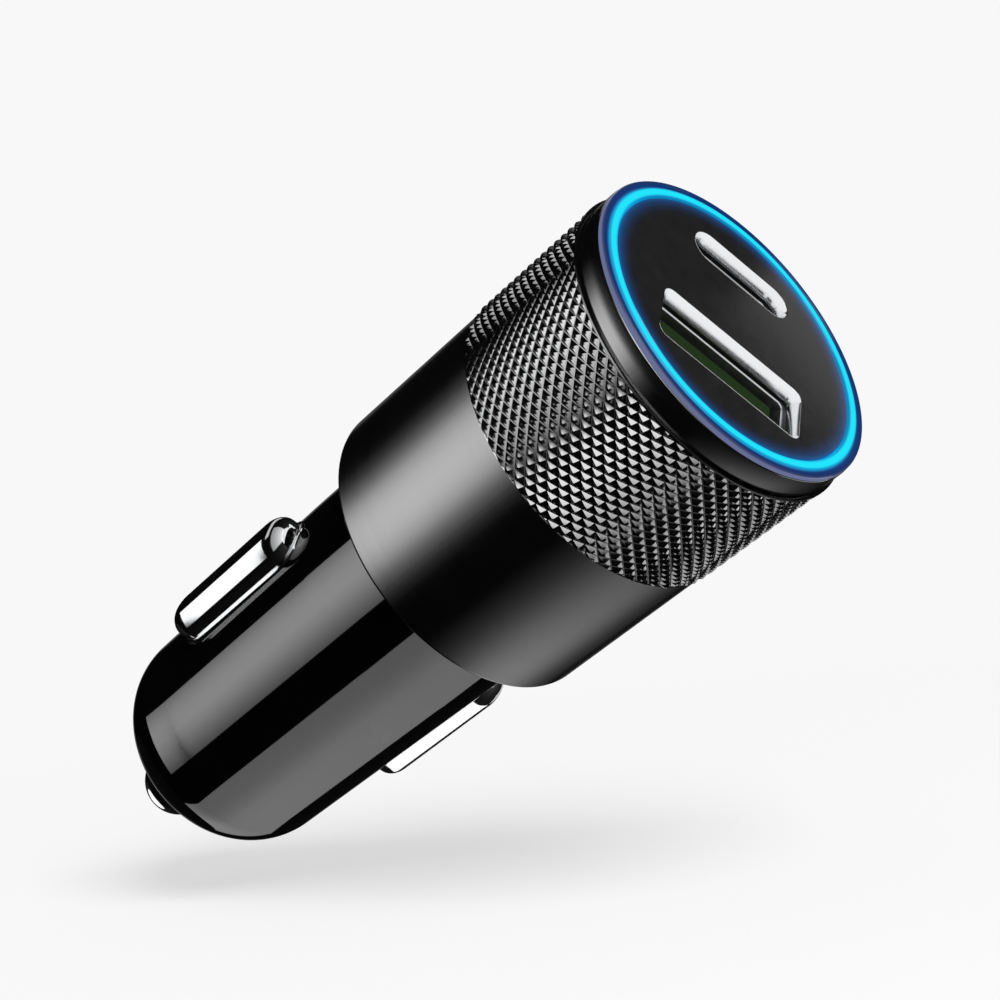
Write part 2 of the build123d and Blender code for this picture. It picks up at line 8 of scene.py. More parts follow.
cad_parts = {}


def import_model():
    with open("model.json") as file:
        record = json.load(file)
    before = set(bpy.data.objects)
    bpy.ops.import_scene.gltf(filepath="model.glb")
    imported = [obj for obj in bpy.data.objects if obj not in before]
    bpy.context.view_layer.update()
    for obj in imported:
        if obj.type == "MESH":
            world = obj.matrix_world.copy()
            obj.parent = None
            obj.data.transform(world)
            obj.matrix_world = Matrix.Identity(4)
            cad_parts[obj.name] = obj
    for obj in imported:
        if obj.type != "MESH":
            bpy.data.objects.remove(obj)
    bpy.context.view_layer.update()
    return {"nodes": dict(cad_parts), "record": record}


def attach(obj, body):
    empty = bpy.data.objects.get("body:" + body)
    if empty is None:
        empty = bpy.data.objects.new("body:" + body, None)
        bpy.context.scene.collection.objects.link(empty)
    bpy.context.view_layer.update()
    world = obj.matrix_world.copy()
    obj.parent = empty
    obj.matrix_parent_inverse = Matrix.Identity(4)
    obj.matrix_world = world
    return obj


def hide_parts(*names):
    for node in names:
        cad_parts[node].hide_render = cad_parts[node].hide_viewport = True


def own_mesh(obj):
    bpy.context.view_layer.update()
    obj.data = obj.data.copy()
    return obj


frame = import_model()

# Sizes are in millimetres, in the part's own frame: Z along the plug, up to the port face.
MM = 0.001
NODES = frame["nodes"]
SCENE = bpy.context.scene
ROOT = "plug_body"
# Segments round a turned body, and the angle in degrees from which edges stay sharp
FINE = 256
SHARP_ANGLE = 30
# Slack of points on a level and on a seam or cut
LEVEL_SLACK = 1e-7
SEAM_SLACK = 1e-9

# Sleeve
SLEEVE_RADIUS = 13.16
SLEEVE_TOP = 30.45
SLEEVE_BORE = 12.0
SLEEVE_NECK = 10.6
SLEEVE_ROUND = 0.35
FLANGE = 1.5
BAND_RADIUS = 13.1
BAND_ROUND = 0.08
GROOVE_WIDTH = 0.15
GROOVE_RADIUS = 12.95
LIP_RADIUS = 13.38
LIP_HEIGHT = 0.15
LIP_ROUND = 0.01
KNURL_BASE = 15.9
KNURL_LENGTH = 12.24
KNURL_VALLEY = 13.12
KNURL_CREST = 13.36
KNURL_RISING = 44
KNURL_FALLING = 66
KNURL_RISING_ANGLE = 22.1
KNURL_FALLING_ANGLE = 43.9
KNURL_GROOVE_SHARE = 0.045
KNURL_BULGE_SHARE = 0.32
KNURL_BULGE_RISE = 0.76
KNURL_RUNOUT = 0.12
KNURL_WELD = 0.004
KNURL_SPARE_CELLS = 3
KNURL_SHARP_ANGLE = 24
KNURL_FOOT_RADIUS = 13.02

# Barrel
BARREL_RADIUS = 10.35
BARREL_STRAIGHT = -8.8
CUP_RADIUS = 11.95
CUP_BORE = 10.7
CUP_FLOOR = 3.0
CUP_TOP = 26.5
NECK_RADIUS = 10.55
NECK_ROUND = 0.03
NOSE_RADIUS = 10.08
NOSE_ROUND = 6.2
NOSE_END = -38.2
NOSE_INSIDE = -36.6
BARREL_BORE = 8.9
CHAMBER_RADIUS = 7.4
CHAMBER_CHAMFER = 2.4
CARRIER_LEDGE = -31.0
TIP_HOLE = 3.25
TIP_HOLE_CHAMFER = 0.15
STRAIGHT_RINGS = (-2, BARREL_STRAIGHT + 0.6)
TAPER_STEPS = 8
# Bounds of the barrel's outer skin, and the least cosine between a face and the exact skin
SKIN_TOP = -1.5 * NECK_ROUND
SKIN_INSIDE = 1.2 * TIP_HOLE
SKIN_COSINE = 0.97

# Side contacts
CONTACT_MIDDLE = -17.4
CONTACT_LENGTH = 16.2
CONTACT_WIDTH = 4.6
CONTACT_TOP = 12.5
CONTACT_ROUND = (1.75, 1.45)
BASE_MARGIN = 0.3
BASE_RADIUS = 10.55
BASE_ROUND = 0.15
FLANGE_MARGIN = 1.2
FLANGE_RADIUS = 8.7
FLANGE_BACK = 7.7
WINDOW_CLEARANCE = 0.12
WINDOW_REACH = (6.0, 14.0)
BASE_STEP = 0.02
CONTACT_CENTRE = 0.98
CONTACT_SHARP_ANGLE = 35
# How far a quarter round's middle stands off its sides, as a share of its radius
QUARTER_MIDDLE = 0.3

# Tip contact
TIP_RADIUS = 3.1
TIP_END = -44.95
TIP_DOME = 2.6
COLLAR_RADIUS = 4.2
COLLAR_FOOT = -36.55
COLLAR_TOP = -35.55

# Springs behind the contacts: coil radius, wire and turns
SPRING_CLEARANCE = 0.05
SIDE_SPRING = (1.4, 0.4, 4.5)
SIDE_SPRING_FLOOR = 3.1
TIP_SPRING = (1.9, 0.5, 9)
TIP_SPRING_CEILING = -11.0
COIL_STEPS = 24
WIRE_STEPS = 12
COIL_SHARP_ANGLE = 50

# Light ring and face
FACE_HEIGHT = 30.9
RING_RADIUS = 13.05
RING_INNER = 11.6
RING_ROUND = 0.2
RING_SOFT = 0.05
RING_LEDGE = 11.0
RING_GROOVE = (12.36, 12.6)
RING_GROOVE_DEPTH = 0.12
RING_SKIRT_RADIUS = 11.95
RING_SKIRT_FOOT = 28.1
PLATE_TOP = 30.8
PLATE_FOOT = 29.4
PLATE_RADIUS = 11.5
PLATE_BEVEL = 0.05
# Where the painted glow of the ring's light on the face begins
FACE_GLOW_START = 9.8
EDGE_SHARP_ANGLE = 40

# Ports
TRIM_DEPTH = 1.1
TRIM_LIP = 0.04
TRIM_ROUND = 0.01
TRIM_WALL = 0.34
WIDE_Y = -4.6
WIDE_OPENING = (13.6, 5.6)
WIDE_ROUND = 0.9
WIDE_SHELL = (13.05, 5.4)
WIDE_SHELL_ROUND = 0.8
WIDE_SHELL_WALL = 0.35
WIDE_SHELL_DEPTH = 13.5
SMALL_Y = 6.68
SMALL_OPENING = (9.6, 3.25)
SMALL_SHELL = (8.94, 3.16)
SMALL_SHELL_WALL = 0.3
SMALL_SHELL_DEPTH = 7.6
SHELL_ROUND = 0.08
SHELL_GAP = 0.005

# Softened edges of the nodes that stay as they are
NODE_WELD = 0.001
NODE_BEVEL = 0.03

# Camera, fitted to the photo
CAMERA_PLACE = (-57.26, -128.81, 100.65)
CAMERA_FORWARD = (0.3301, 0.7592, -0.5609)
CAMERA_RIGHT = (0.7555, 0.1437, 0.6392)
LENS = 77.4
SENSOR_WIDTH = 36
CLIP_START = 5

# Floor and light: the photo's floor is tilted against the plug's axis
FLOOR_NORMAL = (-0.6618, 0.5966, 0.4539)
FLOOR_DROP = 28.7
FLOOR_SIZE = 1500
FLOOR_FADE = (60, 160)
FLOOR_GREYS = (0.435, 0.445)
FLOOR_GLOW = 0.615
KEY_DIRECTION = (-0.4494, -0.0621, 0.8912)
KEY_DISTANCE = 1600
KEY_SIZE = 780
KEY_RADIANCE = 12.1
# Soft boxes stand round the plug's axis in front of a black tent.
BOX_DISTANCE = 250
NEAR_DISTANCE = 120
TENT_DISTANCE = 260
TENT_FOOT = -620
TENT_TOP = 340
TIP_GROUND_RADIUS = 160
TIP_GROUND_HEIGHT = -600
PALE = 0.939
BRIGHT = 1.25
FILL = 0.2
# Brightness across each soft box, from its first bearing to its second
BARREL_LEFT = (
    (0, 0.42), (0.19, 0.75), (0.34, 0.93), (0.5, 1.0), (0.65, 0.85), (0.8, 0.6), (1, 0.28),
)
BARREL_RIGHT = ((0, 0.78), (0.2, 0.8), (0.45, 1.0), (0.6, 0.9), (1, 0.45))
SLEEVE_LEFT = (
    (0.06, 0), (0.16, 0.04), (0.25, 0.2), (0.34, 0.6), (0.43, 0.88), (0.52, 1.0),
    (0.61, 0.98), (0.70, 0.72), (0.79, 0.26), (0.88, 0.05), (0.96, 0),
)
SLEEVE_RIGHT = (
    (0, 0), (0.08, 0.07), (0.17, 0.2), (0.27, 0.46), (0.36, 0.76), (0.46, 0.98),
    (0.55, 1.0), (0.64, 0.9), (0.74, 0.55), (0.83, 0.23), (0.93, 0.06),
)
KNURL_FRONT = (
    (0, 0), (0.12, 0.5), (0.25, 1.0), (0.45, 1.0), (0.65, 0.7), (0.85, 0.4), (1, 0.1),
)
EVEN = ((0, 1), (1, 1))
# Pieces that a soft box lights
BARREL = ("moulded_barrel",)
SLEEVE = ("turned_sleeve", "glowing_ring")
LEFT = ("left_pill",)
RIGHT = ("right_pill",)
TIP = ("domed_tip",)
PORTS = ("wide_lip", "small_lip", "wide_shell", "small_shell")
FACE = ("port_face",)
# Bearings are in degrees about the axis; radiance changes by the factor fade from foot to top.
SOFT_BOXES = {
    "barrel_left_box": dict(
        bearings=(-188, -123.5), heights=(-278, -120), radiance=3.3, lit=BARREL,
        stops=BARREL_LEFT, fade=1.35,
    ),
    "barrel_right_box": dict(
        bearings=(-84, 5), heights=(-600, -120), radiance=1.74, lit=BARREL, stops=BARREL_RIGHT,
    ),
    "sleeve_left_box": dict(
        bearings=(-224, -110), heights=(-242, -95), radiance=5.7, lit=SLEEVE, stops=SLEEVE_LEFT,
    ),
    "sleeve_right_box": dict(
        bearings=(-80, 30), heights=(-230, -40), radiance=1.65, lit=SLEEVE,
        stops=SLEEVE_RIGHT, fade=0,
    ),
    "rim_box": dict(
        bearings=(47, 90), heights=(-600, 0), radiance=0.14, lit=BARREL + SLEEVE,
    ),
    "knurl_front_box": dict(
        bearings=(-173, -82), heights=(80, 300), radiance=10.0, lit=SLEEVE, stops=KNURL_FRONT,
    ),
    "knurl_low_box": dict(
        bearings=(-38, 18), heights=(-185, -112), radiance=1.8, lit=SLEEVE,
        distance=NEAR_DISTANCE,
    ),
    "knurl_far_box": dict(bearings=(95, 116), heights=(-40, 60), radiance=1.7, lit=SLEEVE),
    "knurl_right_box": dict(bearings=(-22, 20), heights=(-35, 65), radiance=3.0, lit=SLEEVE),
    "contact_left_box": dict(
        bearings=(146, 242), heights=(-262, -196), radiance=BRIGHT, lit=LEFT,
    ),
    "contact_left_sky": dict(
        bearings=(150, 245), heights=(-20, TENT_TOP), radiance=0.3, lit=LEFT, fade=3.2,
    ),
    "contact_far_sky": dict(
        bearings=(40, 100), heights=(150, TENT_TOP), radiance=PALE, lit=LEFT,
    ),
    "contact_side_sky": dict(
        bearings=(100, 170), heights=(-125, -70), radiance=0.6, lit=LEFT,
    ),
    "contact_back_sky": dict(
        bearings=(10, 120), heights=(-140, -50), radiance=0.6, lit=RIGHT + TIP,
    ),
    "contact_right_box": dict(
        bearings=(-78, 9), heights=(-300, -150), radiance=BRIGHT, lit=RIGHT,
    ),
    "tip_box": dict(bearings=(160, 230), heights=(-330, -262), radiance=BRIGHT, lit=TIP),
    "port_sky": dict(bearings=(132, 422), heights=(0, TENT_TOP), radiance=PALE, lit=PORTS),
    "face_sky": dict(bearings=(15, 67), heights=(60, 150), radiance=0.5, lit=FACE),
}

# Looks: a noise is spread from its low to its high mark
NOISE_LOW = 0.3
NOISE_HIGH = 0.7
GRAIN_FINENESS = 4
TURNED_ROUGHNESS = (0.15, 0.20)
TURNED_GRAIN = 0.0004
ROLLED_SHARE = 0.55
FACE_ROUGHNESS = (0.10, 0.13)
FACE_GRAIN = 0.002
# Glow from the ring's inner edge to its outer edge; the pale last stops, on the outer lip, are a
# painted highlight
RING_GLOW = (
    (0.0, (0.001, 0.22, 0.48)),
    (0.10, (0.002, 0.62, 0.88)),
    (0.16, (0.004, 0.78, 0.95)),
    (0.40, (0.004, 0.76, 0.94)),
    (0.48, (0.004, 0.42, 0.70)),
    (0.56, (0.003, 0.14, 0.38)),
    (0.66, (0.001, 0.025, 0.15)),
    (0.88, (0.001, 0.02, 0.12)),
    # Painted highlight on the outer lip
    (0.97, (0.04, 0.05, 0.14)),
    (1.0, (0.13, 0.15, 0.28)),
)
# Painted glow of the ring's light on the face, out to the plate's rim
FACE_GLOW = (
    (0.0, (0, 0, 0)),
    (0.3, (0.0, 0.0012, 0.006)),
    (0.55, (0.0, 0.010, 0.040)),
    (0.8, (0.0, 0.030, 0.115)),
    (1.0, (0.0, 0.075, 0.26)),
)
# Darker and lighter colour and the roughness range of the plain finishes
PLATED = {
    "port_chrome": ((0.86, 0.87, 0.88), (0.90, 0.91, 0.92), (0.14, 0.20)),
    "shell_steel": ((0.52, 0.53, 0.55), (0.62, 0.63, 0.65), (0.28, 0.36)),
    "contact_chrome": ((0.80, 0.81, 0.82), (0.86, 0.87, 0.88), (0.05, 0.09)),
    "contact_gold": ((0.72, 0.52, 0.20), (0.83, 0.63, 0.28), (0.18, 0.28)),
    "terminal_brass": ((0.68, 0.50, 0.22), (0.78, 0.60, 0.30), (0.22, 0.34)),
    "can_aluminium": ((0.62, 0.62, 0.64), (0.70, 0.70, 0.72), (0.25, 0.35)),
    "spring_steel": ((0.42, 0.42, 0.44), (0.50, 0.50, 0.52), (0.22, 0.32)),
}
MOULDED = {
    "tongue_black": ((0.015, 0.015, 0.017), (0.022, 0.022, 0.024), (0.4, 0.5)),
    "board_green": ((0.02, 0.16, 0.07), (0.03, 0.21, 0.09), (0.3, 0.4)),
    "led_lens": ((0.85, 0.86, 0.80), (0.92, 0.93, 0.88), (0.15, 0.25)),
    "inductor_grey": ((0.08, 0.08, 0.085), (0.11, 0.11, 0.115), (0.6, 0.7)),
    "chip_black": ((0.025, 0.025, 0.025), (0.035, 0.035, 0.035), (0.5, 0.6)),
    "carrier_black": ((0.04, 0.04, 0.045), (0.055, 0.055, 0.06), (0.45, 0.55)),
}
TONGUE_GREEN = ((0.0045, 0.018, 0.0007), (0.006, 0.025, 0.001), (0.5, 0.6))
TENT_CLOTH = ((0.002, 0.002, 0.002), (0.003, 0.003, 0.003), (0.8, 0.9))


# Mesh building


def add_object(name, bm, smooth=SHARP_ANGLE):
    bmesh.ops.recalc_face_normals(bm, faces=bm.faces)
    mesh = bpy.data.meshes.new(name)
    bm.to_mesh(mesh)
    bm.free()
    mesh.shade_smooth()
    mesh.set_sharp_from_angle(angle=math.radians(smooth))
    obj = bpy.data.objects.new(name, mesh)
    SCENE.collection.objects.link(obj)
    return obj


def point(x, y, z):
    return Vector((x, y, z)) * MM


def even_angles(count):
    return [2 * math.pi * k / count for k in range(count)]


def arc(middle, radius, start, end, steps):
    """Points of an arc in a half section; degrees from the radial direction."""
    turns = [math.radians(start + (end - start) * k / steps) for k in range(steps + 1)]
    return [(middle[0] + radius * math.cos(t), middle[1] + radius * math.sin(t)) for t in turns]


def flat_ring(bm, outline, height):
    return [bm.verts.new(point(x, y, height)) for x, y in outline]


def round_ring(bm, radius, height, angles):
    circle = [(radius * math.cos(a), radius * math.sin(a)) for a in angles]
    return flat_ring(bm, circle, height)


def skin(bm, rings, closed=False):
    """Quads between neighbouring rings of equal length."""
    pairs = list(zip(rings, rings[1:]))
    if closed:
        pairs.append((rings[-1], rings[0]))
    for low, high in pairs:
        for k in range(len(low)):
            after = (k + 1) % len(low)
            bm.faces.new((low[k], low[after], high[after], high[k]))


def turned(name, profile, closed, smooth=SHARP_ANGLE):
    """Body of revolution; an open profile starts and ends on the axis."""
    bm = bmesh.new()
    angles = even_angles(FINE)
    if closed:
        skin(bm, [round_ring(bm, r, z, angles) for r, z in profile], closed=True)
        return add_object(name, bm, smooth)
    rings = [round_ring(bm, r, z, angles) for r, z in profile[1:-1]]
    skin(bm, rings)
    for ring, end in ((rings[0], profile[0]), (rings[-1], profile[-1])):
        pole = bm.verts.new(point(0, 0, end[1]))
        for k in range(len(ring)):
            bm.faces.new((ring[k], ring[(k + 1) % len(ring)], pole))
    return add_object(name, bm, smooth)


def rounded(size, corner, steps=10):
    """Rectangle with round corners, counterclockwise."""
    out = []
    half = (size[0] / 2 - corner, size[1] / 2 - corner)
    for quarter, (sx, sy) in enumerate(((1, 1), (-1, 1), (-1, -1), (1, -1))):
        out += arc((sx * half[0], sy * half[1]), corner, 90 * quarter, 90 * (quarter + 1), steps)
    return out


def stadium(length, width, steps=24):
    """Slot with full round ends, long side along the first axis."""
    half = (length - width) / 2
    right = arc((half, 0), width / 2, -90, 90, steps)
    left = arc((-half, 0), width / 2, 90, 270, steps)
    return right + left


def wide_outline(size, corner):
    return [(x, y + WIDE_Y) for x, y in rounded(size, corner)]


def small_outline(size):
    return [(x, y + SMALL_Y) for x, y in stadium(size[0], size[1])]


def grown(size, by):
    return size[0] + 2 * by, size[1] + 2 * by


def wide_opening(by):
    return wide_outline(grown(WIDE_OPENING, by), WIDE_ROUND + by)


def small_opening(by):
    return small_outline(grown(SMALL_OPENING, by))


def wide_sheet(by):
    return wide_outline(grown(WIDE_SHELL, by), WIDE_SHELL_ROUND + by)


def small_sheet(by):
    return small_outline(grown(SMALL_SHELL, by))


# Materials


class Nodes:
    """A new material's node tree with short ways to add to it."""

    def __init__(self, name):
        self.material = bpy.data.materials.new(name)
        self.material.use_nodes = True
        self.tree = self.material.node_tree
        self.tree.nodes.clear()
        self.out = self.add("ShaderNodeOutputMaterial")
        self.shader = self.add("ShaderNodeBsdfPrincipled")
        self.link(self.shader, "BSDF", self.out, "Surface")
        self.place = self.add("ShaderNodeTexCoord")

    def add(self, kind, **settings):
        node = self.tree.nodes.new(kind)
        for key, value in settings.items():
            setattr(node, key, value)
        return node

    def link(self, source, output, target, socket):
        self.tree.links.new(source.outputs[output], target.inputs[socket])

    def set(self, **sockets):
        for key, value in sockets.items():
            self.shader.inputs[key.replace("_", " ")].default_value = value

    def stretched(self, scale):
        mapping = self.add("ShaderNodeMapping")
        mapping.inputs["Scale"].default_value = scale
        self.link(self.place, "Object", mapping, "Vector")
        return mapping

    def noise(self, scale, detail=3.0, stretch=(1, 1, 1)):
        node = self.add("ShaderNodeTexNoise")
        node.inputs["Scale"].default_value = scale
        node.inputs["Detail"].default_value = detail
        self.link(self.stretched(stretch), "Vector", node, "Vector")
        return node

    def ramp(self, source, output, stops):
        node = self.add("ShaderNodeValToRGB")
        elements = node.color_ramp.elements
        while len(elements) < len(stops):
            elements.new(0.5)
        for element, (place, colour) in zip(elements, stops):
            element.position = place
            element.color = (*colour, 1)
        self.link(source, output, node, "Fac")
        return node

    def range(self, source, output, low, high, start=0.0, end=1.0):
        node = self.add("ShaderNodeMapRange")
        limits = {"From Min": start, "From Max": end, "To Min": low, "To Max": high}
        for key, value in limits.items():
            node.inputs[key].default_value = value
        self.link(source, output, node, "Value")
        return node

    def bump(self, source, depth):
        """Uneven skin, by a noise; the depth is in millimetres."""
        node = self.add("ShaderNodeBump")
        node.inputs["Strength"].default_value = 1.0
        node.inputs["Distance"].default_value = depth * MM
        self.link(source, "Fac", node, "Height")
        self.link(node, "Normal", self.shader, "Normal")

    def colour(self, source, dark, light):
        """Base colour between two shades, by a noise."""
        shades = self.ramp(source, "Fac", ((NOISE_LOW, dark), (NOISE_HIGH, light)))
        self.link(shades, "Color", self.shader, "Base Color")

    def spread(self, source, low, high):
        """Value between two limits, by a noise."""
        return self.range(source, "Fac", low, high, NOISE_LOW, NOISE_HIGH)

    def glow(self, start, end, stops):
        """Light of the surface itself, graded between two distances from the axis; on the face it
        is painted light from the ring.
        """
        share = self.range(self.radius(), "Value", 0, 1, start * MM, end * MM)
        self.link(self.ramp(share, "Result", stops), "Color", self.shader, "Emission Color")
        self.set(Emission_Strength=1.0)

    def radius(self):
        """Distance from the plug's axis, in metres."""
        flat = self.add("ShaderNodeVectorMath", operation="MULTIPLY")
        flat.inputs[1].default_value = (1, 1, 0)
        self.link(self.place, "Object", flat, 0)
        length = self.add("ShaderNodeVectorMath", operation="LENGTH")
        self.link(flat, "Vector", length, 0)
        return length

    def belt(self):
        """One on the knurled belt, nought elsewhere along the axis."""
        parts = self.add("ShaderNodeSeparateXYZ")
        self.link(self.place, "Object", parts, 0)
        inside = self.add("ShaderNodeMath", operation="COMPARE")
        self.link(parts, "Z", inside, 0)
        inside.inputs[1].default_value = (KNURL_BASE + KNURL_LENGTH / 2) * MM
        inside.inputs[2].default_value = KNURL_LENGTH / 2 * MM
        return inside


def speckled(name, dark, light, roughness, scale=900, grain=0.004, **sockets):
    """Moulded or plated surface: slightly uneven colour, gloss and skin."""
    n = Nodes(name)
    n.set(**sockets)
    cloud = n.noise(scale)
    n.colour(cloud, dark, light)
    n.link(n.spread(cloud, *roughness), "Result", n.shader, "Roughness")
    n.bump(n.noise(scale * GRAIN_FINENESS, detail=2), grain)
    return n.material


def plated(name, dark, light, roughness):
    return speckled(name, dark, light, roughness, scale=500, grain=0.0006, Metallic=1.0)


def barrel_material():
    return speckled(
        "barrel_black",
        dark=(0.0012, 0.0012, 0.0014), light=(0.0018, 0.0018, 0.0020), roughness=(0.03, 0.05),
        scale=250, grain=0.0004, IOR=1.6,
    )


def sleeve_material():
    """Black anodised metal with turning marks round the axis, smoother where it is rolled."""
    n = Nodes("sleeve_black")
    n.set(Metallic=0.0, IOR=1.75)
    marks = n.noise(scale=1600, detail=2, stretch=(0.03, 0.03, 9))
    n.colour(n.noise(300), dark=(0.0016, 0.0016, 0.0018), light=(0.0026, 0.0026, 0.0029))
    rolled = n.add("ShaderNodeMath", operation="MULTIPLY")
    n.link(n.spread(marks, *TURNED_ROUGHNESS), "Result", rolled, 0)
    n.link(n.range(n.belt(), "Value", 1.0, ROLLED_SHARE), "Result", rolled, 1)
    n.link(rolled, "Value", n.shader, "Roughness")
    n.bump(marks, TURNED_GRAIN)
    return n.material


def ring_material():
    """Light guide: bright cyan inner ring, dark line, pale outer lip that is a painted highlight.
    """
    n = Nodes("ring_light")
    n.set(Roughness=0.12, IOR=1.49, Specular_IOR_Level=0.08)
    n.colour(n.noise(500), dark=(0.010, 0.012, 0.016), light=(0.014, 0.017, 0.022))
    n.glow(RING_INNER, RING_RADIUS, RING_GLOW)
    n.bump(n.noise(900, detail=2), FACE_GRAIN)
    return n.material


def face_material():
    """Black moulded plate with painted blue light from the ring along its rim."""
    n = Nodes("face_black")
    n.set(IOR=1.5)
    cloud = n.noise(700)
    n.colour(cloud, dark=(0.013, 0.013, 0.0132), light=(0.017, 0.017, 0.0172))
    n.link(n.spread(cloud, *FACE_ROUGHNESS), "Result", n.shader, "Roughness")
    # Painted light of the ring on the face, as emission
    n.glow(FACE_GLOW_START, PLATE_RADIUS, FACE_GLOW)
    n.bump(n.noise(2600, detail=2), FACE_GRAIN)
    return n.material


MATERIALS = {
    "barrel_black": barrel_material(),
    "sleeve_black": sleeve_material(),
    "ring_light": ring_material(),
    "face_black": face_material(),
    "tongue_green": speckled("tongue_green", *TONGUE_GREEN, Specular_IOR_Level=0.1),
    "tent_cloth": speckled("tent_cloth", *TENT_CLOTH, scale=40),
}
MATERIALS.update({slot: plated(slot, *look) for slot, look in PLATED.items()})
MATERIALS.update({slot: speckled(slot, *look) for slot, look in MOULDED.items()})


def finish_piece(obj, slot, body, *nodes):
    obj.data.materials.append(MATERIALS[slot])
    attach(obj, body)
    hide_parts(*nodes)
    return obj


# Sleeve


def knurl_shares():
    """Places across one diamond, from groove to groove with the tip halfway."""
    rising = (0.0, KNURL_GROOVE_SHARE, KNURL_BULGE_SHARE)
    return *rising, 0.5, *(1 - share for share in reversed(rising))


def knurl_height(u, v):
    """Radius inside one diamond, whose flanks are steep at the groove and flatter at the tip."""
    inward = min(u, 1 - u, v, 1 - v)
    if inward < KNURL_BULGE_SHARE:
        climb = (inward - KNURL_GROOVE_SHARE) / (KNURL_BULGE_SHARE - KNURL_GROOVE_SHARE)
        rise = max(0, climb) * KNURL_BULGE_RISE
    else:
        climb = (inward - KNURL_BULGE_SHARE) / (0.5 - KNURL_BULGE_SHARE)
        rise = KNURL_BULGE_RISE + climb * (1 - KNURL_BULGE_RISE)
    return KNURL_VALLEY + (KNURL_CREST - KNURL_VALLEY) * rise


def knurl_patch(bm):
    """Diamonds between two families of helical grooves; returns the belt's top level."""
    girth = 2 * math.pi * KNURL_VALLEY
    rising = KNURL_RISING / (girth * math.tan(math.radians(KNURL_RISING_ANGLE)))
    falling = KNURL_FALLING / (girth * math.tan(math.radians(KNURL_FALLING_ANGLE)))
    cross = KNURL_RISING * falling + KNURL_FALLING * rising
    level = math.gcd(KNURL_RISING, KNURL_FALLING) / cross
    span = round(KNURL_LENGTH / level) * level
    base = KNURL_BASE - level / 4
    shares = knurl_shares()
    corners = {}

    def place(i, j):
        turn = (falling * i + rising * j) / cross
        return turn, base + (KNURL_RISING * j - KNURL_FALLING * i) / cross

    def corner(i, j, a, b):
        """Vertex at steps a and b across cell i, j, shared with the neighbours."""
        last = len(shares) - 1
        if a == last:
            i, a = i + 1, 0
        if b == last:
            j, b = j + 1, 0
        turn, height = place(i + shares[a], j + shares[b])
        around = math.floor(turn + SEAM_SLACK)
        key = (i - around * KNURL_RISING, j - around * KNURL_FALLING, a, b)
        if key not in corners:
            radius = knurl_height(shares[a], shares[b])
            angle = 2 * math.pi * (turn - around)
            corners[key] = bm.verts.new(
                point(radius * math.cos(angle), radius * math.sin(angle), height)
            )
        return corners[key]

    reach = math.ceil(max(rising, falling) * span) + KNURL_SPARE_CELLS
    middle = base + span / 2
    limit = span / 2 + KNURL_SPARE_CELLS * level
    steps = len(shares) - 1
    for i in range(-reach, KNURL_RISING + reach):
        for j in range(-reach, KNURL_FALLING + reach):
            turn, height = place(i + 0.5, j + 0.5)
            if not 0 <= turn < 1 or abs(height - middle) > limit:
                continue
            for a in range(steps):
                for b in range(steps):
                    square = ((a, b), (a + 1, b), (a + 1, b + 1), (a, b + 1))
                    quad = [corner(i, j, *spot) for spot in square]
                    # The fold of a flank runs from the diamond's corner to its tip.
                    if (a < steps / 2 - 0.5) == (b < steps / 2 - 0.5):
                        bm.faces.new((quad[0], quad[1], quad[2]))
                        bm.faces.new((quad[0], quad[2], quad[3]))
                    else:
                        bm.faces.new((quad[0], quad[1], quad[3]))
                        bm.faces.new((quad[1], quad[2], quad[3]))
    top = KNURL_BASE + span
    for height, side in ((KNURL_BASE, -1), (top, 1)):
        bmesh.ops.bisect_plane(
            bm,
            geom=bm.verts[:] + bm.edges[:] + bm.faces[:],
            plane_co=point(0, 0, height),
            plane_no=(0, 0, side),
            clear_outer=True,
            dist=SEAM_SLACK,
        )
    bmesh.ops.remove_doubles(bm, verts=bm.verts, dist=KNURL_WELD * MM)
    return top


def open_loop(bm, height):
    """Vertices of an open edge at a level, in order round the axis."""
    edges = [
        e for e in bm.edges
        if e.is_boundary and all(abs(v.co.z - height * MM) < LEVEL_SLACK for v in e.verts)
    ]
    verts = {v for e in edges for v in e.verts}
    return sorted(verts, key=lambda v: math.atan2(v.co.y, v.co.x))


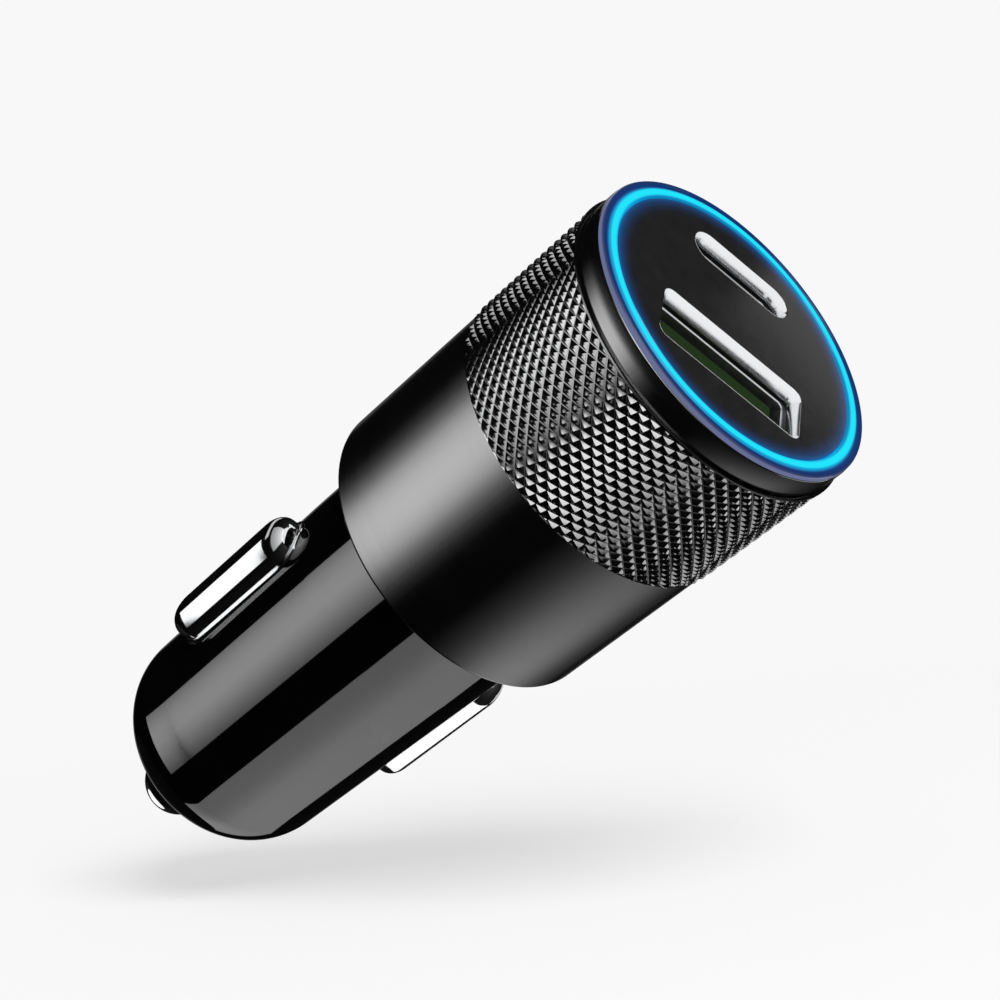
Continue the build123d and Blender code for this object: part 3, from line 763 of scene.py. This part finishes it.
def sleeve():
    bm = bmesh.new()
    top = knurl_patch(bm)
    below = [(KNURL_FOOT_RADIUS, KNURL_BASE), (SLEEVE_RADIUS, KNURL_BASE - KNURL_RUNOUT)]
    below += arc((SLEEVE_RADIUS - SLEEVE_ROUND, SLEEVE_ROUND), SLEEVE_ROUND, 0, -90, steps=8)
    below += [(SLEEVE_NECK, 0), (SLEEVE_NECK, FLANGE)]
    below += [(SLEEVE_BORE, FLANGE), (SLEEVE_BORE, KNURL_BASE)]
    lip_top = top + LIP_HEIGHT
    band_foot = lip_top + GROOVE_WIDTH
    above = [(LIP_RADIUS - LIP_ROUND, top), (LIP_RADIUS, top + LIP_ROUND)]
    above += [(LIP_RADIUS, lip_top - LIP_ROUND), (LIP_RADIUS - LIP_ROUND, lip_top)]
    above += [(GROOVE_RADIUS, lip_top), (GROOVE_RADIUS, band_foot)]
    above += arc((BAND_RADIUS - BAND_ROUND, band_foot + BAND_ROUND), BAND_ROUND, -90, 0, steps=4)
    above += arc((BAND_RADIUS - BAND_ROUND, SLEEVE_TOP - BAND_ROUND), BAND_ROUND, 0, 90, steps=4)
    above += [(SLEEVE_BORE, SLEEVE_TOP), (SLEEVE_BORE, top)]
    ends = []
    for profile, height in ((below, KNURL_BASE), (above, top)):
        edge = open_loop(bm, height)
        angles = [math.atan2(v.co.y, v.co.x) for v in edge]
        rings = [edge] + [round_ring(bm, r, z, angles) for r, z in profile]
        skin(bm, rings)
        ends.append(rings[-1])
    bm.edges.index_update()
    loops = []
    for ring in ends:
        around = set(ring)
        loops += [e for e in bm.edges if e.is_boundary and set(e.verts) <= around]
    bmesh.ops.bridge_loops(bm, edges=loops)
    obj = add_object("turned_sleeve", bm, KNURL_SHARP_ANGLE)
    return finish_piece(obj, "sleeve_black", ROOT, "sleeve")


# Barrel


def barrel_profile():
    round_top = NOSE_END + NOSE_ROUND
    side = NOSE_RADIUS - NOSE_ROUND
    outer = [(CUP_BORE, CUP_FLOOR), (CUP_BORE, CUP_TOP)]
    outer += [(CUP_RADIUS, CUP_TOP), (CUP_RADIUS, FLANGE)]
    outer += [(NECK_RADIUS, FLANGE), (NECK_RADIUS, 0), (BARREL_RADIUS, -NECK_ROUND)]
    outer += [(BARREL_RADIUS, z) for z in STRAIGHT_RINGS]
    for k in range(TAPER_STEPS):
        share = k / TAPER_STEPS
        height = BARREL_STRAIGHT + share * (round_top - BARREL_STRAIGHT)
        outer.append((BARREL_RADIUS + share * (NOSE_RADIUS - BARREL_RADIUS), height))
    outer += arc((side, round_top), NOSE_ROUND, 0, -90, steps=48)
    inner = [
        (TIP_HOLE + TIP_HOLE_CHAMFER, NOSE_END),
        (TIP_HOLE, NOSE_END + TIP_HOLE_CHAMFER), (TIP_HOLE, NOSE_INSIDE),
        (CHAMBER_RADIUS - CHAMBER_CHAMFER, NOSE_INSIDE),
        (CHAMBER_RADIUS, NOSE_INSIDE + CHAMBER_CHAMFER),
        (CHAMBER_RADIUS, CARRIER_LEDGE), (BARREL_BORE, CARRIER_LEDGE), (BARREL_BORE, CUP_FLOOR),
    ]
    return outer + inner


def contact_outline(margin):
    """Outline of a side contact in Y and Z, wider by the margin all round."""
    flat = stadium(CONTACT_LENGTH + 2 * margin, CONTACT_WIDTH + 2 * margin)
    return [(-y, x + CONTACT_MIDDLE) for x, y in flat]


def window_cutter(side):
    bm = bmesh.new()
    outline = contact_outline(BASE_MARGIN + WINDOW_CLEARANCE)
    rings = [[bm.verts.new(point(side * x, y, z)) for y, z in outline] for x in WINDOW_REACH]
    skin(bm, rings)
    for ring in rings:
        bm.faces.new(ring)
    return add_object("window_cutter", bm)


def outside_normal(place):
    """Normal of the barrel's outer skin near a point in metres."""
    radius, height = place.xy.length / MM, place.z / MM
    round_top = NOSE_END + NOSE_ROUND
    out = place.xy.normalized()
    if height >= BARREL_STRAIGHT:
        slope = (1, 0)
    elif height >= round_top:
        slope = (BARREL_STRAIGHT - round_top, NOSE_RADIUS - BARREL_RADIUS)
    else:
        slope = (radius - (NOSE_RADIUS - NOSE_ROUND), height - round_top)
    return Vector((out.x * slope[0], out.y * slope[0], slope[1])).normalized()


def set_barrel_normals(mesh):
    """Exact normals on the outer skin, so that reflections run straight past the windows."""
    normals = []
    for polygon in mesh.polygons:
        for index in polygon.loop_indices:
            place = mesh.vertices[mesh.loops[index].vertex_index].co
            exact = outside_normal(place)
            on_skin = place.z < SKIN_TOP * MM and place.xy.length > SKIN_INSIDE * MM
            fits = on_skin and exact.dot(polygon.normal) > SKIN_COSINE
            normals.append(exact if fits else polygon.normal.copy())
    mesh.normals_split_custom_set(normals)


def barrel():
    obj = turned("moulded_barrel", barrel_profile(), closed=True)
    for side in (-1, 1):
        cutter = window_cutter(side)
        cut = obj.modifiers.new("window", "BOOLEAN")
        cut.operation = "DIFFERENCE"
        cut.solver = "EXACT"
        cut.object = cutter
        graph = bpy.context.evaluated_depsgraph_get()
        mesh = bpy.data.meshes.new_from_object(obj.evaluated_get(graph))
        obj.modifiers.clear()
        obj.data = mesh
        bpy.data.objects.remove(cutter)
    obj.data.name = "moulded_barrel"
    obj.data.shade_smooth()
    set_barrel_normals(obj.data)
    return finish_piece(obj, "barrel_black", ROOT, "barrel")


# Contacts


def side_contact(name, side, body, node):
    bm = bmesh.new()

    def ring(margin, reach):
        return [bm.verts.new(point(side * reach(y), y, z)) for y, z in contact_outline(margin)]

    def level(x):
        return lambda y: x

    def drum(radius):
        return lambda y: math.sqrt(radius**2 - y**2)

    def crowned(x):
        """Level that falls away to both sides, as the socket's wall curves."""
        return lambda y: x - CONTACT_TOP + math.sqrt(CONTACT_TOP**2 - y**2)

    rings = [ring(FLANGE_MARGIN, level(FLANGE_BACK)), ring(FLANGE_MARGIN, drum(FLANGE_RADIUS))]
    rings.append(ring(BASE_MARGIN, drum(FLANGE_RADIUS)))
    for margin, drop in ((0, 1), (QUARTER_MIDDLE, QUARTER_MIDDLE), (1, 0)):
        height = drum(BASE_RADIUS - BASE_ROUND * drop)
        rings.append(ring(BASE_MARGIN - BASE_ROUND * margin, height))
    rings.append(ring(BASE_STEP, drum(BASE_RADIUS)))
    rings.append(ring(0, drum(BASE_RADIUS + BASE_STEP)))
    for inward, down in arc((-1, -1), 1, 0, 90, steps=16):
        height = CONTACT_TOP + down * CONTACT_ROUND[1]
        rings.append(ring(inward * CONTACT_ROUND[0], crowned(height)))
    rings.append(ring(-CONTACT_CENTRE * CONTACT_WIDTH / 2, crowned(CONTACT_TOP)))
    skin(bm, rings)
    bm.faces.new(rings[0])
    bm.faces.new(rings[-1])
    obj = add_object(name, bm, CONTACT_SHARP_ANGLE)
    return finish_piece(obj, "contact_chrome", body, node)


def tip_contact():
    dome_radius = (TIP_RADIUS**2 + TIP_DOME**2) / (2 * TIP_DOME)
    edge = math.degrees(math.asin(TIP_RADIUS / dome_radius))
    dome = arc((0, TIP_END + dome_radius), dome_radius, -90, edge - 90, steps=16)
    profile = dome + [
        (TIP_RADIUS, COLLAR_FOOT), (COLLAR_RADIUS, COLLAR_FOOT),
        (COLLAR_RADIUS, COLLAR_TOP), (0, COLLAR_TOP),
    ]
    obj = turned("domed_tip", profile, closed=False)
    return finish_piece(obj, "contact_chrome", "tip", "tip_contact")


# Springs


def coil(name, spring, length, place, node):
    """Compression spring that stands on the place matrix's XY plane."""
    radius, wire, turns = spring
    climb = (length - wire) / (2 * math.pi * turns)
    steps = round(turns * COIL_STEPS)
    bm = bmesh.new()
    rings = []
    for k in range(steps + 1):
        angle = 2 * math.pi * turns * k / steps
        out = Vector((math.cos(angle), math.sin(angle), 0))
        along = Vector((-radius * out.y, radius * out.x, climb)).normalized()
        middle = out * radius + Vector((0, 0, wire / 2 + climb * angle))
        over = out.cross(along)
        section = [out * math.cos(a) + over * math.sin(a) for a in even_angles(WIRE_STEPS)]
        spots = [middle + way * wire / 2 for way in section]
        rings.append([bm.verts.new(place @ (spot * MM)) for spot in spots])
    skin(bm, rings)
    bm.faces.new(rings[0])
    bm.faces.new(rings[-1])
    return finish_piece(add_object(name, bm, COIL_SHARP_ANGLE), "spring_steel", ROOT, node)


def side_coil(name, side, node):
    seat = SIDE_SPRING_FLOOR + SPRING_CLEARANCE
    length = FLANGE_BACK - SPRING_CLEARANCE - seat
    foot = point(side * seat, 0, CONTACT_MIDDLE)
    turn = Matrix.Rotation(math.radians(90 * side), 4, "Y")
    obj = coil(name, SIDE_SPRING, length, Matrix.Translation(foot) @ turn, node)
    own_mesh(obj)
    return obj


def tip_coil():
    foot = COLLAR_TOP + SPRING_CLEARANCE
    head = TIP_SPRING_CEILING - SPRING_CLEARANCE
    length = head - foot
    obj = coil("tip_coil", TIP_SPRING, length, Matrix.Translation(point(0, 0, foot)), "tip_spring")
    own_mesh(obj)
    return obj


# Face


def light_ring():
    bottom = FACE_HEIGHT - RING_GROOVE_DEPTH
    inner, outer = RING_GROOVE
    profile = [(RING_INNER, PLATE_FOOT), (RING_INNER, FACE_HEIGHT - RING_SOFT)]
    profile += [(RING_INNER + RING_SOFT, FACE_HEIGHT), (inner - RING_SOFT, FACE_HEIGHT)]
    profile += [(inner, bottom), (outer, bottom), (outer + RING_SOFT, FACE_HEIGHT)]
    edge = (RING_RADIUS - RING_ROUND, FACE_HEIGHT - RING_ROUND)
    profile += arc(edge, RING_ROUND, 90, 0, steps=6)
    profile += [(RING_RADIUS, SLEEVE_TOP), (RING_SKIRT_RADIUS, SLEEVE_TOP)]
    profile += [(RING_SKIRT_RADIUS, RING_SKIRT_FOOT), (RING_LEDGE, RING_SKIRT_FOOT)]
    profile += [(RING_LEDGE, PLATE_FOOT)]
    obj = turned("glowing_ring", profile, closed=True, smooth=EDGE_SHARP_ANGLE)
    return finish_piece(obj, "ring_light", ROOT, "light_ring")


def filled(bm, rings):
    """Flat face between an outer ring and the holes in it."""
    edges = []
    for ring in rings:
        for a, b in zip(ring, ring[1:] + ring[:1]):
            edges.append(bm.edges.get((a, b)) or bm.edges.new((a, b)))
    bmesh.ops.triangle_fill(bm, edges=edges, use_beauty=True)


def face_plate():
    bm = bmesh.new()
    seat = PLATE_TOP - TRIM_DEPTH
    angles = even_angles(FINE)
    edges = ((PLATE_RADIUS, PLATE_FOOT), (PLATE_RADIUS, PLATE_TOP - PLATE_BEVEL))
    edges += ((PLATE_RADIUS - PLATE_BEVEL, PLATE_TOP),)
    rim = [round_ring(bm, radius, height, angles) for radius, height in edges]
    skin(bm, rim)
    tops, feet = [rim[-1]], [rim[0]]
    steps = ((PLATE_BEVEL, PLATE_TOP), (0, PLATE_TOP - PLATE_BEVEL), (0, seat))
    steps += ((-TRIM_WALL, seat), (-TRIM_WALL, PLATE_FOOT))
    for opening in (wide_opening, small_opening):
        walls = [flat_ring(bm, opening(by), height) for by, height in steps]
        skin(bm, walls)
        tops.append(walls[0])
        feet.append(walls[-1])
    filled(bm, tops)
    filled(bm, feet)
    return finish_piece(add_object("port_face", bm), "face_black", ROOT, "face_plate")


def port_tube(name, outline, walls, slot, node):
    """Closed tube round a port's axis; walls give growth of the outline and height."""
    bm = bmesh.new()
    skin(bm, [flat_ring(bm, outline(by), height) for by, height in walls], closed=True)
    return finish_piece(add_object(name, bm, EDGE_SHARP_ANGLE), slot, ROOT, node)


def port_trim(name, outline, node):
    """Plated lip: thin at its rim, flaring inward below."""
    foot = PLATE_TOP - TRIM_DEPTH
    soft = TRIM_ROUND
    walls = ((0, foot), (0, PLATE_TOP - soft), (-soft, PLATE_TOP), (-TRIM_LIP + soft, PLATE_TOP))
    walls += ((-TRIM_LIP, PLATE_TOP - soft), (-TRIM_WALL, foot + soft), (-TRIM_WALL, foot))
    return port_tube(name, outline, walls, "port_chrome", node)


def port_shell(name, outline, wall, depth, node):
    """Folded sheet shell with a rounded front edge."""
    back = PLATE_FOOT - depth
    front = PLATE_FOOT - SHELL_GAP
    soft = SHELL_ROUND
    walls = ((0, back), (0, front - soft), (-soft, front), (-wall + soft, front))
    walls += ((-wall, front - soft), (-wall, back))
    return port_tube(name, outline, walls, "shell_steel", node)


def dress_nodes():
    """Materials and softened edges on the nodes that stay as they are."""
    slots = {s["node"]: s["material_slot"] for s in frame["record"]["subparts"]}
    for name, obj in NODES.items():
        obj.data.materials.clear()
        obj.data.materials.append(MATERIALS[slots[name]])
        # The springs have pieces of their own.
        if "spring" in name:
            continue
        weld = obj.modifiers.new("weld", "WELD")
        weld.merge_threshold = NODE_WELD * MM
        bevel = obj.modifiers.new("soft_edges", "BEVEL")
        bevel.width = NODE_BEVEL * MM
        bevel.segments = 2
        bevel.limit_method = "ANGLE"


# Stage


def facing(normal):
    """Rotation that turns +Z to the normal."""
    return Vector(normal).to_track_quat("Z", "Y").to_matrix().to_4x4()


def floor_material():
    """Pale paper that fades out away from the plug and is clear from below."""
    n = Nodes("floor_paper")
    n.set(Roughness=0.9, Specular_IOR_Level=0.0)
    n.set(Emission_Color=(1, 1, 1, 1), Emission_Strength=FLOOR_GLOW)
    n.colour(n.noise(6), *((grey, grey, grey) for grey in FLOOR_GREYS))
    clear = n.add("ShaderNodeBsdfTransparent")
    mix = n.add("ShaderNodeMixShader")
    flat = n.add("ShaderNodeVectorMath", operation="LENGTH")
    n.link(n.place, "Object", flat, 0)
    fade = n.range(flat, "Value", 0, 1, FLOOR_FADE[0] * MM, FLOOR_FADE[1] * MM)
    face = n.add("ShaderNodeNewGeometry")
    hide = n.add("ShaderNodeMath", operation="MAXIMUM")
    n.link(fade, "Result", hide, 0)
    n.link(face, "Backfacing", hide, 1)
    n.link(hide, "Value", mix, "Fac")
    n.link(n.shader, 0, mix, 1)
    n.link(clear, 0, mix, 2)
    n.link(mix, "Shader", n.out, "Surface")
    return n.material


def hide_from(obj, *rays):
    for kind in rays:
        setattr(obj, "visible_" + kind, False)


def floor():
    """Tilted pale floor, seen from above only, that fades into the backdrop."""
    normal = Vector(FLOOR_NORMAL).normalized()
    bm = bmesh.new()
    bmesh.ops.create_grid(bm, x_segments=1, y_segments=1, size=FLOOR_SIZE * MM / 2)
    obj = add_object("floor", bm)
    obj.matrix_world = Matrix.Translation(normal * -FLOOR_DROP * MM) @ facing(normal)
    hide_from(obj, "glossy", "diffuse", "transmission", "shadow")
    obj.data.materials.append(floor_material())


def key_light():
    """Square lamp overhead that casts the shadow."""
    place = Vector(KEY_DIRECTION).normalized() * KEY_DISTANCE
    lamp = bpy.data.lights.new("key", "AREA")
    lamp.shape = "RECTANGLE"
    lamp.size = lamp.size_y = KEY_SIZE * MM
    lamp.energy = KEY_RADIANCE * math.pi * lamp.size * lamp.size_y
    obj = bpy.data.objects.new("key", lamp)
    obj.visible_camera = False
    SCENE.collection.objects.link(obj)
    obj.matrix_world = Matrix.Translation(place * MM) @ facing(place)
    return obj


def reflected_only(obj, material):
    """Make a card that shows in reflections and nowhere else."""
    hide_from(obj, "camera", "diffuse", "transmission", "shadow")
    obj.data.materials.append(material)
    return obj


def bent_card(name, bearings, distance, heights, material, steps=64):
    """Upright card bent round the plug's axis.

    Its attributes "across" and "upward" run from 0 to 1 over the bearings and the heights.
    """
    bm = bmesh.new()
    across = bm.verts.layers.float.new("across")
    upward = bm.verts.layers.float.new("upward")
    columns = []
    for k in range(steps + 1):
        angle = math.radians(bearings[0] + (bearings[1] - bearings[0]) * k / steps)
        x, y = distance * math.cos(angle), distance * math.sin(angle)
        column = [bm.verts.new(point(x, y, z)) for z in heights]
        for level, vert in enumerate(column):
            vert[across] = k / steps
            vert[upward] = level
        columns.append(column)
    for left, right in zip(columns, columns[1:]):
        bm.faces.new((left[0], right[0], right[1], left[1]))
    return reflected_only(add_object(name, bm), material)


def softbox_material(name, radiance, stops, fade=1.0):
    """Light graded across its card and fading upward, which rays pass through."""
    n = Nodes(name)
    across = n.add("ShaderNodeAttribute", attribute_name="across")
    upward = n.add("ShaderNodeAttribute", attribute_name="upward")
    ramp = n.ramp(across, "Fac", [(place, (level, level, level)) for place, level in stops])
    glow = n.add("ShaderNodeEmission")
    n.link(n.range(upward, "Fac", radiance, radiance * fade), "Result", glow, "Strength")
    n.link(ramp, "Color", glow, "Color")
    both = n.add("ShaderNodeAddShader")
    n.link(glow, 0, both, 0)
    n.link(n.add("ShaderNodeBsdfTransparent"), 0, both, 1)
    n.link(both, "Shader", n.out, "Surface")
    return n.material


def linked(light, suffix, lit):
    """Tie a light to a collection of pieces."""
    group = bpy.data.collections.new(light.name + suffix)
    for piece in lit:
        group.objects.link(piece)
    light.light_linking.receiver_collection = group
    return group


def keep_off(lamp, spared):
    group = linked(lamp, "_spares", spared)
    for member in group.collection_objects:
        member.light_linking.link_state = "EXCLUDE"


def disc(name, radius, height, material):
    """Level card below the plug."""
    bm = bmesh.new()
    bmesh.ops.create_circle(bm, cap_ends=True, segments=64, radius=radius * MM)
    card = reflected_only(add_object(name, bm), material)
    card.matrix_world = Matrix.Translation(point(0, 0, height))
    return card


def softbox(name, lit, bearings, heights, radiance, stops=EVEN, fade=1.0, distance=BOX_DISTANCE):
    """Graded soft box that lights the given pieces only."""
    material = softbox_material(name, radiance, stops, fade)
    linked(bent_card(name, bearings, distance, heights, material), "_lights", lit)


def lights(pieces):
    """Key light that casts the shadow, and the soft boxes that the bright stripes mirror."""

    def named(names):
        return [pieces[name] for name in names]

    keep_off(key_light(), named(LEFT + RIGHT + TIP + PORTS))
    for name, box in SOFT_BOXES.items():
        softbox(name, **{**box, "lit": named(box["lit"])})
    glow = softbox_material("tip_ground", BRIGHT, EVEN)
    ground = disc("tip_ground", TIP_GROUND_RADIUS, TIP_GROUND_HEIGHT, glow)
    linked(ground, "_lights", named(TIP))


def tent():
    """Black cloth round the plug and below it."""
    cloth = MATERIALS["tent_cloth"]
    bent_card("tent_wall", (0, 360), TENT_DISTANCE, (TENT_FOOT, TENT_TOP), cloth)
    disc("tent_ground", TENT_DISTANCE, TENT_FOOT, cloth)


def world():
    """Pale backdrop for what is seen, mirrored or looked through; softer light for the rest."""
    SCENE.world = bpy.data.worlds.new("backdrop")
    SCENE.world.use_nodes = True
    tree = SCENE.world.node_tree
    tree.nodes.clear()
    out = tree.nodes.new("ShaderNodeOutputWorld")
    rays = tree.nodes.new("ShaderNodeLightPath")
    seen = tree.nodes.new("ShaderNodeBackground")
    seen.inputs["Color"].default_value = (PALE, PALE, PALE, 1)
    fill = tree.nodes.new("ShaderNodeBackground")
    fill.inputs["Color"].default_value = (FILL, FILL, FILL, 1)
    either = tree.nodes.new("ShaderNodeMath")
    either.operation = "MAXIMUM"
    tree.links.new(rays.outputs["Is Camera Ray"], either.inputs[0])
    tree.links.new(rays.outputs["Is Glossy Ray"], either.inputs[1])
    any_ray = tree.nodes.new("ShaderNodeMath")
    any_ray.operation = "MAXIMUM"
    tree.links.new(either.outputs[0], any_ray.inputs[0])
    tree.links.new(rays.outputs["Is Transmission Ray"], any_ray.inputs[1])
    mix = tree.nodes.new("ShaderNodeMixShader")
    tree.links.new(any_ray.outputs[0], mix.inputs["Fac"])
    tree.links.new(fill.outputs[0], mix.inputs[1])
    tree.links.new(seen.outputs[0], mix.inputs[2])
    tree.links.new(mix.outputs[0], out.inputs["Surface"])


def camera():
    data = bpy.data.cameras.new("camera")
    data.lens = LENS
    data.sensor_width = SENSOR_WIDTH
    data.clip_start = CLIP_START * MM
    obj = bpy.data.objects.new("camera", data)
    SCENE.collection.objects.link(obj)
    back = -Vector(CAMERA_FORWARD).normalized()
    right = Vector(CAMERA_RIGHT)
    right = (right - right.dot(back) * back).normalized()
    up = back.cross(right)
    turn = Matrix((right, up, back)).transposed().to_4x4()
    obj.matrix_world = Matrix.Translation(point(*CAMERA_PLACE)) @ turn
    SCENE.camera = obj


pieces = [
    sleeve(),
    barrel(),
    side_contact("left_pill", -1, "side_left", "side_contact_left"),
    side_contact("right_pill", 1, "side_right", "side_contact_right"),
    tip_contact(),
    side_coil("left_coil", -1, "side_spring_left"),
    side_coil("right_coil", 1, "side_spring_right"),
    tip_coil(),
    light_ring(),
    face_plate(),
    port_trim("wide_lip", wide_opening, "wide_port_trim"),
    port_trim("small_lip", small_opening, "small_port_trim"),
    port_shell(
        "wide_shell", wide_sheet, WIDE_SHELL_WALL, WIDE_SHELL_DEPTH, "wide_port_shell",
    ),
    port_shell(
        "small_shell", small_sheet, SMALL_SHELL_WALL, SMALL_SHELL_DEPTH, "small_port_shell",
    ),
]
dress_nodes()
floor()
lights({piece.name: piece for piece in pieces})
tent()
world()
camera()
SCENE.view_settings.view_transform = "Standard"
